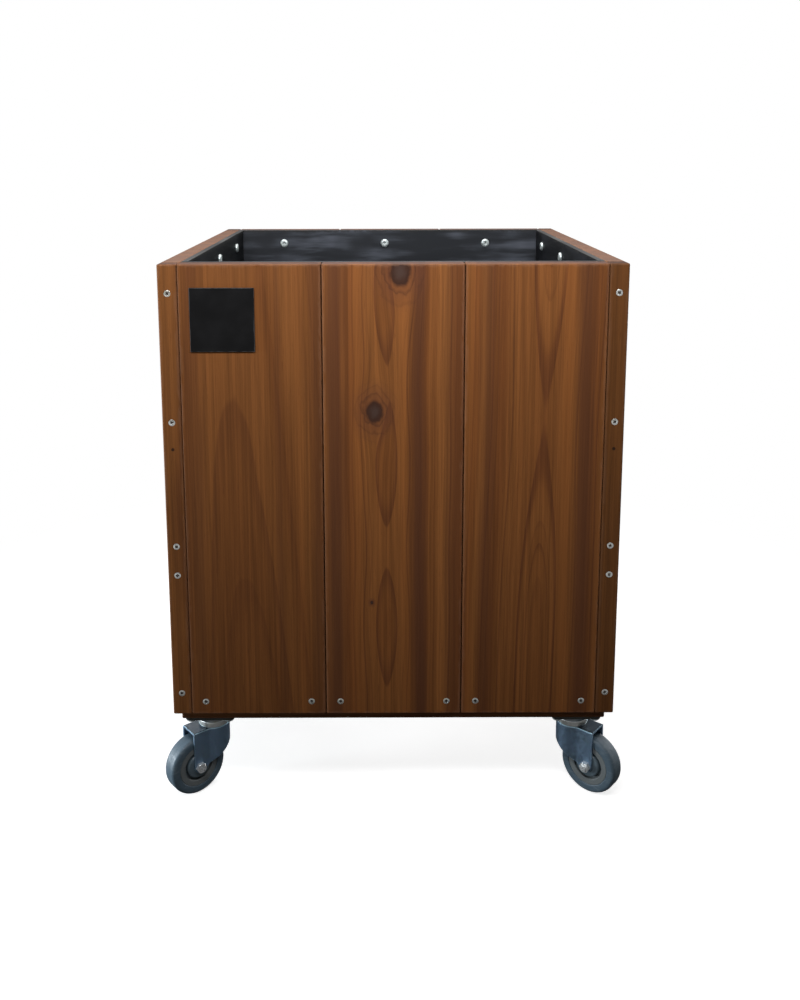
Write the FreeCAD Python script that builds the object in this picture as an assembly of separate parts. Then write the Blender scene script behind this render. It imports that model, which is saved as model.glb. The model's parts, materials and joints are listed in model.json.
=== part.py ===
import FreeCAD, Part
import math
import os

# Raised planter on four swivel casters: a square box of upright boards with corner strips,
# lined with black panels, standing on two runners.
# Millimetres, +Z up. The origin is on the ground under the middle of the box, the front faces -Y.

# Boards of the box
board_thickness = 19.05
board_width = 139.7
board_length = 469.9
boards_per_wall = 3
board_joint = 0.7
board_edge_radius = 1.6

# Runners under the floor that carry the casters
runner_thickness = 19.05
runner_width = 88.9
runner_setback = 23.0
runner_end_inset = 3.6

# Lining panels
liner_thickness = 6.35
liner_edge_radius = 0.5
liner_corner_gap = 1.5
liner_floor_gap = 0.5

# Drain holes through the lining and the floor boards
drain_diameter = 12.0
drain_half_span = 110.0

# Bare name plate on the left front board
plate_side = 63.0
plate_thickness = 2.0
plate_edge_radius = 0.4
plate_from_board_edge = 11.7
plate_below_top = 22.8

# Countersunk wood screws with a square drive
screw_head_diameter = 6.8
screw_head_height = 2.4
screw_shank_diameter = 3.6
screw_tip_length = 5.0
screw_drive_width = 2.6
screw_drive_depth = 1.6
long_screw_length = 38.0
runner_screw_length = 34.0
screw_clearance = 0.05

# Pan head screws with a cross drive
pan_head_diameter = 11.2
pan_head_height = 2.8
pan_head_rounding = 1.7
cross_drive_width = 1.1
cross_drive_span = 4.4
liner_screw_length = 20.0
caster_screw_length = 20.5

# Screw patterns
strip_screw_pitch = 129.0
strip_screw_from_foot = 23.5
strip_screw_from_top = 28.5
strip_screws_from_foot = 2
strip_screws_from_top = 3
foot_screw_from_board_edge = 15.0
foot_screw_height = 14.0
side_foot_screw_height = 7.0
liner_screw_below_top = 18.0
liner_screw_offset = 7.0
runner_screw_pitch = 86.0
runner_screw_count = 4

# Casters
caster_height = 89.0
caster_inset_side = 32.6
caster_inset_front = 50.0
caster_trail = 25.0
caster_rest_angle = 40.0
wheel_headroom = 6.5
wheel_width = 19.0
tyre_shoulder = 4.0
tyre_depth = 9.25
core_width = 18.0
core_edge = 0.6
rim_face_width = 6.2
groove_width = 2.8
groove_depth = 5.0
boss_width = 20.0
boss_edge = 1.5
boss_clearance = 0.3

# Caster top plate, its upper race and the kingpin
top_plate_width = 52.0
top_plate_thickness = 2.5
top_plate_corner = 5.0
top_plate_hole_half_pitch = 20.0
race_depth = 8.0
race_upper_radius = 21.5
race_lower_radius = 17.5
kingpin_diameter = 10.0
kingpin_head_diameter = 16.0
kingpin_head_height = 3.0
ball_diameter = 4.0
ball_circle_radius = 12.5
ball_count = 12
race_gap = 0.5
race_clearance = 0.15

# Caster fork, pressed from sheet
fork_sheet = 2.0
fork_crown_height = 6.0
fork_crown_radius = 16.4
fork_crown_bore = 9.0
fork_crown_rounding = 1.2
fork_nose_radius = 17.0
fork_blend_radius = 10.0
fork_bend_radius = 1.5
fork_skirt_height = 18.0
fork_lug_radius = 6.5

# Axle bolt and nut
axle_diameter = 6.0
hex_across_flats = 10.0
hex_chamfer = 0.8
bolt_head_height = 4.0
nut_height = 5.0
bolt_past_nut = 1.5
running_clearance = 0.08
fixed_clearance = 0.05

# Derived sizes
inner_half = boards_per_wall * board_width / 2
outer_half = inner_half + board_thickness
runner_bottom = caster_height
board_bottom = runner_bottom + runner_thickness
board_top = board_bottom + board_length
floor_top = board_bottom + board_thickness
liner_inner = inner_half - liner_thickness
liner_floor_top = floor_top + liner_thickness
strip_axis = inner_half + board_thickness / 2
caster_x = outer_half - caster_inset_side
caster_y = outer_half - caster_inset_front
runner_middle = outer_half - runner_setback - runner_width / 2
drain_row = (board_width / 2 + runner_middle - runner_width / 2) / 2
top_plate_bottom = caster_height - top_plate_thickness
race_bottom = top_plate_bottom - race_depth
crown_top = race_bottom - race_gap
deck_top = crown_top - fork_crown_height
deck_bottom = deck_top - fork_sheet
wheel_radius = (deck_bottom - wheel_headroom) / 2
core_radius = wheel_radius - tyre_depth
groove_radius = core_radius - rim_face_width
boss_radius = groove_radius - groove_width
fork_half_width = boss_width / 2 + boss_clearance + fork_sheet
fork_tail = caster_trail + fork_lug_radius
skirt_bottom = deck_top - fork_skirt_height

UP = FreeCAD.Vector(0, 0, 1)


def vec(x, y, z):
    return FreeCAD.Vector(x, y, z)


def box(low, high):
    """Box between two corners."""
    size = high - low
    return Part.makeBox(size.x, size.y, size.z, low)


def eased(shape, radius):
    """Every edge rounded by the same radius."""
    return shape.makeFillet(radius, shape.Edges)


def aimed(shape, point, direction):
    """A shape built along +Z from the origin, moved to a point and turned to a direction."""
    place = FreeCAD.Placement(point, FreeCAD.Rotation(UP, direction))
    moved = shape.copy()
    moved.Placement = place.multiply(shape.Placement)
    return moved


def turned(shape, angle):
    """A copy turned about the vertical axis of the box."""
    copy = shape.copy()
    copy.rotate(vec(0, 0, 0), UP, angle)
    return copy


def revolved(outline):
    """Solid of revolution about Z from an outline of (radius, height) points."""
    points = [vec(radius, 0, height) for radius, height in outline]
    wire = Part.makePolygon(points + points[:1])
    return Part.Face(wire).revolve(vec(0, 0, 0), UP, 360)


# Screws are built along +Z: the head at the origin, the tip pointing up.


def shank(length, radius, start):
    """Screw shank with its pointed tip."""
    straight = Part.makeCylinder(radius, length - screw_tip_length - start, vec(0, 0, start))
    tip = Part.makeCone(radius, 0, screw_tip_length, vec(0, 0, length - screw_tip_length))
    return straight.fuse(tip)


def countersunk_screw(length):
    """Wood screw whose flat head lies flush."""
    head = Part.makeCone(screw_head_diameter / 2, screw_shank_diameter / 2, screw_head_height)
    half = screw_drive_width / 2
    drive = box(vec(-half, -half, 0), vec(half, half, screw_drive_depth))
    screw = head.fuse(shank(length, screw_shank_diameter / 2, screw_head_height))
    return screw.cut(drive).removeSplitter()


def countersunk_hole(length):
    """Hole that a countersunk screw fills."""
    grow = screw_clearance
    head = Part.makeCone(
        screw_head_diameter / 2 + grow, screw_shank_diameter / 2 + grow, screw_head_height
    )
    return head.fuse(Part.makeCylinder(screw_shank_diameter / 2 + grow, length + grow))


def pan_screw(length):
    """Screw with a domed head that stands on the surface, below the origin."""
    head = Part.makeCylinder(pan_head_diameter / 2, pan_head_height, vec(0, 0, -pan_head_height))
    rim = [e for e in head.Edges if abs(e.BoundBox.ZMax + pan_head_height) < pan_head_rounding / 2]
    head = head.makeFillet(pan_head_rounding, rim)
    span, half = cross_drive_span / 2, cross_drive_width / 2
    low, high = -pan_head_height, -pan_head_height + screw_drive_depth
    cross = box(vec(-span, -half, low), vec(span, half, high)).fuse(
        box(vec(-half, -span, low), vec(half, span, high))
    )
    return head.fuse(shank(length, screw_shank_diameter / 2, 0)).cut(cross).removeSplitter()


def pan_hole(length):
    """Plain hole for the shank of a pan head screw."""
    return Part.makeCylinder(screw_shank_diameter / 2 + screw_clearance, length + screw_clearance)


# Places of the screws: a list of (point, direction) for each pattern.


def strip_screw_places():
    """Screws through the corner strips, from the front and the back, into the side boards."""
    heights = [
        board_bottom + strip_screw_from_foot + i * strip_screw_pitch
        for i in range(strip_screws_from_foot)
    ]
    heights += [
        board_top - strip_screw_from_top - i * strip_screw_pitch
        for i in range(strip_screws_from_top)
    ]
    return [
        (vec(x, side * outer_half, z), vec(0, -side, 0))
        for side in (-1, 1)
        for x in (-strip_axis, strip_axis)
        for z in heights
    ]


def wall_places(point, direction, angle):
    """One place on the front wall, carried round to another wall."""
    turn = FreeCAD.Rotation(UP, angle)
    return turn.multVec(point), turn.multVec(direction)


def board_centre(index):
    """Distance of a board's middle from the middle of its wall."""
    return (index - (boards_per_wall - 1) / 2) * board_width


def foot_screw_places():
    """Two screws at the foot of every wall board, into the edges of the floor boards."""
    reach = board_width / 2 - foot_screw_from_board_edge
    places = []
    for wall in range(4):
        height = side_foot_screw_height if wall % 2 else foot_screw_height
        for index in range(boards_per_wall):
            for side in (-reach, reach):
                point = vec(board_centre(index) + side, -outer_half, board_bottom + height)
                places.append(wall_places(point, vec(0, 1, 0), wall * 90))
    return places


def liner_screw_places():
    """One pan head screw near the top of every board, from the inside of the lining."""
    places = []
    for wall in range(4):
        for index in range(boards_per_wall):
            x = board_centre(index) + liner_screw_offset
            point = vec(x, -liner_inner, board_top - liner_screw_below_top)
            places.append(wall_places(point, vec(0, -1, 0), wall * 90))
    return places


def runner_screw_places():
    """Screws from below through each runner into the floor board above it."""
    start = -(runner_screw_count - 1) / 2 * runner_screw_pitch
    return [
        (vec(start + i * runner_screw_pitch, side * runner_middle, runner_bottom), UP)
        for side in (-1, 1)
        for i in range(runner_screw_count)
    ]


def caster_screw_places():
    """Four screws through each caster plate into the runner."""
    reach = top_plate_hole_half_pitch
    return [
        (vec(x * caster_x + dx, y * caster_y + dy, top_plate_bottom), UP)
        for x, y in caster_sites.values()
        for dx in (-reach, reach)
        for dy in (-reach, reach)
    ]


caster_sites = {
    "front_left": (-1, -1),
    "front_right": (1, -1),
    "back_left": (-1, 1),
    "back_right": (1, 1),
}


def group(shape, places):
    """Separate copies of one fastener at all its places."""
    return Part.makeCompound([aimed(shape, point, direction) for point, direction in places])


def drilled(shape, hole, places):
    """The shape with those holes of a pattern that reach into it."""
    for point, direction in places:
        tool = aimed(hole, point, direction)
        if tool.BoundBox.intersect(shape.BoundBox):
            shape = shape.cut(tool)
    return shape


def screwed(shape):
    """A piece of the box with all its screw holes."""
    long_hole = countersunk_hole(long_screw_length)
    shape = drilled(shape, long_hole, strip_screw_places() + foot_screw_places())
    shape = drilled(shape, countersunk_hole(runner_screw_length), runner_screw_places())
    shape = drilled(shape, pan_hole(liner_screw_length), liner_screw_places())
    return drilled(shape, pan_hole(caster_screw_length), caster_screw_places())


# Timber pieces


def wall_board(wall, index):
    """Upright board of the front wall, turned to its own wall."""
    half = (board_width - board_joint) / 2
    middle = board_centre(index)
    low = vec(middle - half, -outer_half, board_bottom)
    high = vec(middle + half, -inner_half, board_top)
    return screwed(turned(eased(box(low, high), board_edge_radius), wall * 90))


def corner_strip(x, y):
    """Square strip that closes one corner of the box."""
    low = vec(-board_thickness / 2, -board_thickness / 2, board_bottom)
    high = vec(board_thickness / 2, board_thickness / 2, board_top)
    strip = eased(box(low, high), board_edge_radius)
    strip.translate(vec(x * strip_axis, y * strip_axis, 0))
    return screwed(strip)


def drain_places():
    """Two drain holes in every floor board, the outer rows midway between joint and runner."""
    rows = (-drain_row, 0, drain_row)
    return [(x, y) for x in (-drain_half_span, drain_half_span) for y in rows]


def drained(shape):
    """A floor piece with the drain holes bored through it."""
    depth = liner_floor_top - board_bottom
    for x, y in drain_places():
        shape = shape.cut(Part.makeCylinder(drain_diameter / 2, depth, vec(x, y, board_bottom)))
    return shape


def floor_board(index):
    """Flat board between the side walls."""
    half = (board_width - board_joint) / 2
    reach = inner_half - board_joint / 2
    low = vec(-reach, board_centre(index) - half, board_bottom)
    high = vec(reach, board_centre(index) + half, floor_top)
    return drained(screwed(eased(box(low, high), board_edge_radius)))


def runner(side):
    """Board across the underside, with two casters."""
    reach = outer_half - runner_end_inset
    low = vec(-reach, side * runner_middle - runner_width / 2, runner_bottom)
    high = vec(reach, side * runner_middle + runner_width / 2, board_bottom)
    return screwed(eased(box(low, high), board_edge_radius))


# Lining and name plate


def liner_wall(wall):
    """Lining panel: front and back span the box, the sides fit between them."""
    reach = liner_inner - liner_corner_gap if wall % 2 else inner_half - board_joint / 2
    low = vec(-reach, -inner_half, floor_top)
    high = vec(reach, -liner_inner, board_top)
    return screwed(turned(eased(box(low, high), liner_edge_radius), wall * 90))


def liner_floor():
    """Lining panel that lies on the floor boards."""
    reach = liner_inner - liner_floor_gap
    panel = box(vec(-reach, -reach, floor_top), vec(reach, reach, liner_floor_top))
    return drained(eased(panel, liner_edge_radius))


def name_plate():
    """Bare square plate fixed to the left front board."""
    left = -inner_half + plate_from_board_edge
    top = board_top - plate_below_top
    low = vec(left, -outer_half - plate_thickness, top - plate_side)
    return eased(box(low, vec(left + plate_side, -outer_half, top)), plate_edge_radius)


# Caster pieces are built with the swivel axis on Z and the wheel trailing towards +X.


def ball_groove():
    """Ring that the balls sweep, with clearance."""
    middle = vec(0, 0, race_bottom - race_gap / 2)
    return Part.makeTorus(ball_circle_radius, ball_diameter / 2 + race_clearance, middle, UP)


def kingpin():
    """Rivet that holds the fork to the plate."""
    lower = deck_bottom - race_clearance - kingpin_head_height
    radius, head = kingpin_diameter / 2, kingpin_head_diameter / 2
    stem = Part.makeCylinder(radius, caster_height - lower, vec(0, 0, lower))
    foot = Part.makeCylinder(head, kingpin_head_height, vec(0, 0, lower))
    sunk = vec(0, 0, caster_height - kingpin_head_height)
    return stem.fuse(foot).fuse(Part.makeCone(radius, head, kingpin_head_height, sunk))


def top_plate():
    """Square plate with the upper ball race under it."""
    half = top_plate_width / 2
    plate = box(vec(-half, -half, top_plate_bottom), vec(half, half, caster_height))
    upright = [e for e in plate.Edges if e.BoundBox.ZLength > top_plate_thickness / 2]
    plate = plate.makeFillet(top_plate_corner, upright)
    race = Part.makeCone(race_lower_radius, race_upper_radius, race_depth, vec(0, 0, race_bottom))
    plate = plate.fuse(race).cut(ball_groove())
    bore = kingpin_diameter / 2 + fixed_clearance
    plate = plate.cut(Part.makeCylinder(bore, caster_height))
    sunk = vec(0, 0, caster_height - kingpin_head_height)
    head = kingpin_head_diameter / 2 + fixed_clearance
    plate = plate.cut(Part.makeCone(bore, head, kingpin_head_height, sunk))
    hole = Part.makeCylinder(screw_shank_diameter / 2 + screw_clearance, top_plate_thickness)
    reach = top_plate_hole_half_pitch
    for x in (-reach, reach):
        for y in (-reach, reach):
            plate = plate.cut(aimed(hole, vec(x, y, top_plate_bottom), UP))
    return plate.removeSplitter()


def balls():
    """Ring of balls between the two races."""
    ring = []
    for i in range(ball_count):
        angle = 2 * math.pi * i / ball_count
        x, y = ball_circle_radius * math.cos(angle), ball_circle_radius * math.sin(angle)
        ring.append(Part.makeSphere(ball_diameter / 2, vec(x, y, race_bottom - race_gap / 2)))
    return ring


def fork_plan(half_width, nose, blend, tail):
    """Keyhole outline of the fork from above: a round nose and two straight sides."""
    turn = math.sqrt((nose + blend) ** 2 - (half_width + blend) ** 2)
    share = nose / (nose + blend)
    touch = vec(share * turn, share * (half_width + blend), 0)
    centre = vec(turn, half_width + blend, 0)
    side = vec(turn, half_width, 0)
    towards = (side + touch) * 0.5 - centre
    middle = centre + towards * (blend / towards.Length)

    def mirrored(point):
        return vec(point.x, -point.y, 0)

    corner = vec(tail, half_width, 0)
    edges = [
        Part.LineSegment(corner, side),
        Part.Arc(side, middle, touch),
        Part.Arc(touch, vec(-nose, 0, 0), mirrored(touch)),
        Part.Arc(mirrored(touch), mirrored(middle), mirrored(side)),
        Part.LineSegment(mirrored(side), mirrored(corner)),
        Part.LineSegment(mirrored(corner), corner),
    ]
    return Part.Face(Part.Wire([edge.toShape() for edge in edges]))


def fork_profile():
    """Side view of the fork: upright rear edge, round lug at the axle, slanting front edge."""
    reach = fork_nose_radius + fork_sheet
    start = vec(-reach, -reach, skirt_bottom)
    axle = vec(caster_trail, -reach, wheel_radius)
    slope = start - axle
    angle = math.atan2(slope.z, slope.x) + math.acos(fork_lug_radius / slope.Length)

    def on_lug(turn):
        return axle + vec(math.cos(turn), 0, math.sin(turn)) * fork_lug_radius

    rear = axle + vec(fork_lug_radius, 0, 0)
    corners = [vec(fork_tail, -reach, crown_top), vec(-reach, -reach, crown_top)]
    edges = [
        Part.LineSegment(start, on_lug(angle)),
        Part.Arc(on_lug(angle), on_lug((angle + 2 * math.pi) / 2), rear),
        Part.LineSegment(rear, corners[0]),
        Part.LineSegment(corners[0], corners[1]),
        Part.LineSegment(corners[1], start),
    ]
    face = Part.Face(Part.Wire([edge.toShape() for edge in edges]))
    return face.extrude(vec(0, 2 * reach, 0))


def fork():
    """Pressed fork: deck, two legs joined by a round skirt, and the lower race on top."""
    outside = fork_plan(fork_half_width, fork_nose_radius, fork_blend_radius, fork_tail)
    shell = outside.extrude(vec(0, 0, deck_top))
    bends = [
        e
        for e in shell.Edges
        if e.BoundBox.ZMin > deck_top - fork_sheet and e.BoundBox.XMin < fork_tail - fork_sheet
    ]
    shell = shell.makeFillet(fork_bend_radius, bends)
    inside = fork_plan(
        fork_half_width - fork_sheet,
        fork_nose_radius - fork_sheet,
        fork_blend_radius + fork_sheet,
        fork_tail + fork_sheet,
    )
    shell = shell.cut(inside.extrude(vec(0, 0, deck_bottom))).common(fork_profile())
    crown = Part.makeCylinder(fork_crown_radius, fork_crown_height, vec(0, 0, deck_top))
    rim = [e for e in crown.Edges if e.BoundBox.ZMin > deck_top + fork_crown_height / 2]
    crown = crown.makeFillet(fork_crown_rounding, rim)
    crown = crown.cut(Part.makeCylinder(fork_crown_bore, fork_crown_height, vec(0, 0, deck_top)))
    shell = shell.fuse(crown.cut(ball_groove()))
    shell = shell.cut(Part.makeCylinder(kingpin_diameter / 2 + running_clearance, crown_top))
    return shell.cut(on_axle(Part.makeCylinder(bore_radius(fixed_clearance), *through_fork())))


def bore_radius(clearance):
    """Hole for the axle bolt."""
    return axle_diameter / 2 + clearance


def through_fork():
    """Height and start of a cylinder that passes both legs."""
    return 2 * fork_half_width, vec(0, 0, -fork_half_width)


def on_axle(shape):
    """A shape built about Z, laid on the wheel's axle."""
    return aimed(shape, vec(caster_trail, 0, wheel_radius), vec(0, 1, 0))


def wheel_core():
    """Moulded wheel centre: rim, groove and boss on both faces."""
    rim, boss = core_width / 2, boss_width / 2
    floor = rim - groove_depth
    half = [
        (bore_radius(running_clearance), boss),
        (boss_radius - boss_edge, boss),
        (boss_radius, boss - boss_edge),
        (boss_radius, floor),
        (groove_radius, floor),
        (groove_radius, rim - core_edge),
        (groove_radius + core_edge, rim),
        (core_radius, rim),
    ]
    other = [(radius, -height) for radius, height in reversed(half)]
    return on_axle(revolved(half + other))


def tyre():
    """Soft tyre with rounded shoulders, moulded on the wheel centre."""
    half = wheel_width / 2
    ring = Part.makeCylinder(wheel_radius, wheel_width, vec(0, 0, -half))
    shoulders = [e for e in ring.Edges if e.BoundBox.ZLength < half]
    ring = ring.makeFillet(tyre_shoulder, shoulders)
    inner = core_radius + fixed_clearance
    return on_axle(ring.cut(Part.makeCylinder(inner, wheel_width, vec(0, 0, -half))))


def hexagon(height):
    """Hexagonal prism along +Z with its top corners chamfered."""
    corner = hex_across_flats / 2 / math.cos(math.pi / 6)
    points = [
        vec(corner * math.cos(i * math.pi / 3), corner * math.sin(i * math.pi / 3), 0)
        for i in range(7)
    ]
    prism = Part.Face(Part.makePolygon(points)).extrude(vec(0, 0, height))
    turned_blank = Part.makeCylinder(corner, height)
    rim = [e for e in turned_blank.Edges if e.BoundBox.ZMin > height / 2]
    return prism.common(turned_blank.makeChamfer(hex_chamfer, rim))


def axle_bolt():
    """Hexagon bolt through the fork, its head on one side."""
    length = 2 * fork_half_width + nut_height + bolt_past_nut
    stem = Part.makeCylinder(axle_diameter / 2, length, vec(0, 0, fork_half_width - length))
    head = hexagon(bolt_head_height)
    head.translate(vec(0, 0, fork_half_width))
    return on_axle(stem.fuse(head))


def axle_nut():
    """Nut on the far side of the fork."""
    nut = hexagon(nut_height).cut(Part.makeCylinder(bore_radius(fixed_clearance), nut_height))
    nut.rotate(vec(0, 0, 0), vec(1, 0, 0), 180)
    nut.translate(vec(0, 0, -fork_half_width))
    return on_axle(nut)


def at_site(shape, site, swivelled):
    """A caster piece carried to its corner, the fork's pieces turned to their rest angle."""
    x, y = caster_sites[site]
    angle = math.radians(caster_rest_angle)
    heading = math.degrees(math.atan2(y * math.sin(angle), x * math.cos(angle)))
    placed = turned(shape, heading) if swivelled else shape.copy()
    placed.translate(vec(x * caster_x, y * caster_y, 0))
    return placed


def save(name, shape):
    shape.exportStep("parts/" + name + ".step")


os.makedirs("parts", exist_ok=True)

walls = ("front", "right", "back", "left")
for wall, wall_name in enumerate(walls):
    for index in range(boards_per_wall):
        save(f"{wall_name}_board_{index + 1}", wall_board(wall, index))
    save(f"{wall_name}_liner", liner_wall(wall))
for index in range(boards_per_wall):
    save(f"floor_board_{index + 1}", floor_board(index))
for side, side_name in ((-1, "front"), (1, "back")):
    save(f"{side_name}_runner", runner(side))
save("floor_liner", liner_floor())
save("name_plate", name_plate())

save("strip_screws", group(countersunk_screw(long_screw_length), strip_screw_places()))
save("foot_screws", group(countersunk_screw(long_screw_length), foot_screw_places()))
save("runner_screws", group(countersunk_screw(runner_screw_length), runner_screw_places()))
save("liner_screws", group(pan_screw(liner_screw_length), liner_screw_places()))
save("caster_screws", group(pan_screw(caster_screw_length), caster_screw_places()))

kingpins, race_balls = [], []
for site, (x, y) in caster_sites.items():
    save(f"{site}_corner_strip", corner_strip(x, y))
    save(f"{site}_caster_plate", at_site(top_plate(), site, False))
    save(f"{site}_caster_fork", at_site(fork(), site, True))
    save(f"{site}_axle_bolt", at_site(axle_bolt(), site, True))
    save(f"{site}_axle_nut", at_site(axle_nut(), site, True))
    save(f"{site}_wheel_core", at_site(wheel_core(), site, True))
    save(f"{site}_tyre", at_site(tyre(), site, True))
    kingpins.append(at_site(kingpin(), site, False))
    race_balls += [at_site(ball, site, False) for ball in balls()]
save("caster_kingpins", Part.makeCompound(kingpins))
save("caster_balls", Part.makeCompound(race_balls))
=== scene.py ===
import json
import math
import random

import bmesh
import bpy
from mathutils import Matrix, Vector


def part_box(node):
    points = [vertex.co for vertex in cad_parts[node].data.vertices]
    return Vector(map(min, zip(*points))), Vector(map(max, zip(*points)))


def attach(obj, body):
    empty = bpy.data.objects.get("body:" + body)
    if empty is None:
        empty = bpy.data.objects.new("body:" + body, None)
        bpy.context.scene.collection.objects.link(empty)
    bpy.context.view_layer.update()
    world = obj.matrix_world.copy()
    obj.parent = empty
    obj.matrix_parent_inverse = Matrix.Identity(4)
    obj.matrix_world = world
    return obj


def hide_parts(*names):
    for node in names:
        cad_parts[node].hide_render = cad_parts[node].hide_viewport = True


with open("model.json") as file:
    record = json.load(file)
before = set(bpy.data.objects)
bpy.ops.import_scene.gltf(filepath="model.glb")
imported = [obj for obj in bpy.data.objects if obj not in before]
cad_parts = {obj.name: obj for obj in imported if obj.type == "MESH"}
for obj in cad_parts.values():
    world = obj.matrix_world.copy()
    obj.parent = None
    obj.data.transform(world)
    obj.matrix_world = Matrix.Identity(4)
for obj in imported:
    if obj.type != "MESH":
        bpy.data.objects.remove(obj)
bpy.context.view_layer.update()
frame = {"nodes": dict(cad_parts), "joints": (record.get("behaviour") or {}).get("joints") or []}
nodes = frame["nodes"]

# Floor boards
# Three dressed cedar boards lie flat between the walls and carry the planting.
# They are oiled like the walls, bored with drain holes and screwed to the runners.


def put(tree, kind, inputs=(), **settings):
    """Adds a node. Inputs go from a socket's name or number to a value or another socket."""
    node = tree.nodes.new(kind)
    for name, value in settings.items():
        setattr(node, name, value)
    for key, value in dict(inputs).items():
        if isinstance(value, bpy.types.NodeSocket):
            tree.links.new(value, node.inputs[key])
        else:
            node.inputs[key].default_value = value
    return node


def calc(tree, operation, *values):
    """Result of a sum on numbers or sockets."""
    return put(tree, "ShaderNodeMath", enumerate(values), operation=operation).outputs[0]


def ease(tree, value, low, high, start=0.0, end=1.0):
    """Smooth change from start to end while the value goes from low to high."""
    limits = {0: value, 1: low, 2: high, 3: start, 4: end}
    return put(tree, "ShaderNodeMapRange", limits, interpolation_type="SMOOTHSTEP").outputs[0]


def tint(tree, share, under, over, mode="MIX"):
    """One colour laid over another."""
    colours = {0: share, 6: under, 7: over}
    return put(tree, "ShaderNodeMix", colours, data_type="RGBA", blend_type=mode).outputs[2]


def cloud(tree, place, stretch, detail=2.0):
    """Noise with its own scale along each axis, in counts per metre."""
    scaled = put(tree, "ShaderNodeVectorMath", {0: place, 1: stretch}, operation="MULTIPLY").outputs[0]
    return put(tree, "ShaderNodeTexNoise", {"Vector": scaled, "Scale": 1.0, "Detail": detail}).outputs[0]


def band(tree, distance, detail=2.0):
    """Noise along one distance."""
    values = {"W": distance, "Scale": 1.0, "Detail": detail}
    return put(tree, "ShaderNodeTexNoise", values, noise_dimensions="1D").outputs[0]


def shader_group(name, inputs, outputs):
    """Empty node group: its tree, its input sockets by name and its output sockets by name."""
    tree = bpy.data.node_groups.new(name, "ShaderNodeTree")
    for label, value in inputs.items():
        width = len(value) if hasattr(value, "__len__") else 1
        kind = {1: "NodeSocketFloat", 3: "NodeSocketVector", 4: "NodeSocketColor"}[width]
        tree.interface.new_socket(label, in_out="INPUT", socket_type=kind).default_value = value
    for label, kind in outputs.items():
        tree.interface.new_socket(label, in_out="OUTPUT", socket_type="NodeSocket" + kind)
    return tree, tree.nodes.new("NodeGroupInput").outputs, tree.nodes.new("NodeGroupOutput").inputs


pale_cedar = (0.236, 0.088, 0.0240, 1.0)
red_cedar = (0.158, 0.054, 0.0150, 1.0)
plum_cedar = (0.092, 0.033, 0.014, 1.0)
amber_cedar = (0.305, 0.106, 0.0265, 1.0)
late_cedar = (0.085, 0.027, 0.011, 1.0)
# The paler end colour of the side walls is painted light.
end_cedar, side_end_painted_light = (0.160, 0.112, 0.104, 1.0), (0.275, 0.185, 0.150, 1.0)
worn_cedar = (0.330, 0.175, 0.105, 1.0)
ring_pitch = 0.0046

# Growth rings are shells about a pith line behind the board. The pith leans and wavers along the
# length, so that a flat sawn face shows arches and tongues and the ends show arcs.
grain, given, made = shader_group(
    "cedar grain",
    {
        "Place": (0.0, 0.0, 0.0),
        "Pith Offset": 0.0,
        "Pith Depth": 0.04,
        "Lean": 0.0,
        "Drift": 0.0,
        "Waver": 0.002,
        "Waver Place": 0.0,
        "Waver Length": 0.4,
        "Wander": 0.006,
        "Late": 0.5,
        "Seed": 0.0,
    },
    {"Color": "Color", "Roughness": "Float", "Height": "Float"},
)
across, through, along = put(grain, "ShaderNodeSeparateXYZ", {0: given["Place"]}).outputs
phase = calc(grain, "DIVIDE", calc(grain, "SUBTRACT", along, given["Waver Place"]), given["Waver Length"])
swing = calc(grain, "COSINE", calc(grain, "MULTIPLY", phase, math.tau))
depth = calc(grain, "MULTIPLY_ADD", given["Lean"], along, given["Pith Depth"])
depth = calc(grain, "MULTIPLY_ADD", given["Waver"], swing, depth)
offset = calc(grain, "MULTIPLY_ADD", given["Drift"], along, given["Pith Offset"])
sideways = calc(grain, "SUBTRACT", across, offset)
behind = calc(grain, "ADD", through, depth)
squares = calc(grain, "MULTIPLY_ADD", sideways, sideways, calc(grain, "MULTIPLY", behind, behind))
wander = cloud(grain, given["Place"], (18.0, 18.0, 5.0), 3.0)
astray = calc(grain, "SUBTRACT", wander, 0.5)
shell = calc(grain, "MULTIPLY_ADD", astray, given["Wander"], calc(grain, "SQRT", squares))
ring = calc(grain, "ADD", calc(grain, "DIVIDE", shell, ring_pitch), given["Seed"])
uneven = calc(grain, "MULTIPLY", band(grain, calc(grain, "MULTIPLY", ring, 0.35)), 2.0)
ring = calc(grain, "ADD", ring, uneven)
year = calc(grain, "FRACT", ring)
late = calc(grain, "MULTIPLY", ease(grain, year, 0.60, 0.94), ease(grain, year, 0.95, 1.0, 1.0, 0.0))
vigour = put(
    grain, "ShaderNodeTexWhiteNoise", {"W": calc(grain, "FLOOR", ring)}, noise_dimensions="1D"
).outputs[0]
late = calc(grain, "MULTIPLY", late, ease(grain, vigour, 0.1, 0.9, 0.06, given["Late"]))
tone = ease(grain, band(grain, calc(grain, "MULTIPLY_ADD", shell, 55.0, given["Seed"]), 2.0), 0.28, 0.72)
plum = ease(grain, band(grain, calc(grain, "MULTIPLY_ADD", shell, 34.0, given["Seed"]), 1.0), 0.52, 0.78)
fibre = cloud(grain, given["Place"], (620.0, 620.0, 9.0), 4.0)
fleck = cloud(grain, given["Place"], (1500.0, 1500.0, 70.0), 1.0)
wood = tint(grain, tone, red_cedar, pale_cedar)
wood = tint(grain, calc(grain, "MULTIPLY", plum, 0.40), wood, plum_cedar)
wood = tint(grain, late, wood, late_cedar)
thread = cloud(grain, given["Place"], (230.0, 230.0, 2.5), 3.0)
wood = tint(grain, 1.0, wood, ease(grain, thread, 0.32, 0.68, 0.86, 1.12), "MULTIPLY")
wood = tint(grain, 1.0, wood, ease(grain, fibre, 0.25, 0.75, 0.84, 1.16), "MULTIPLY")
wood = tint(grain, ease(grain, fleck, 0.62, 0.80, 0.0, 0.36), wood, late_cedar)
grain.links.new(wood, made["Color"])
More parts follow.
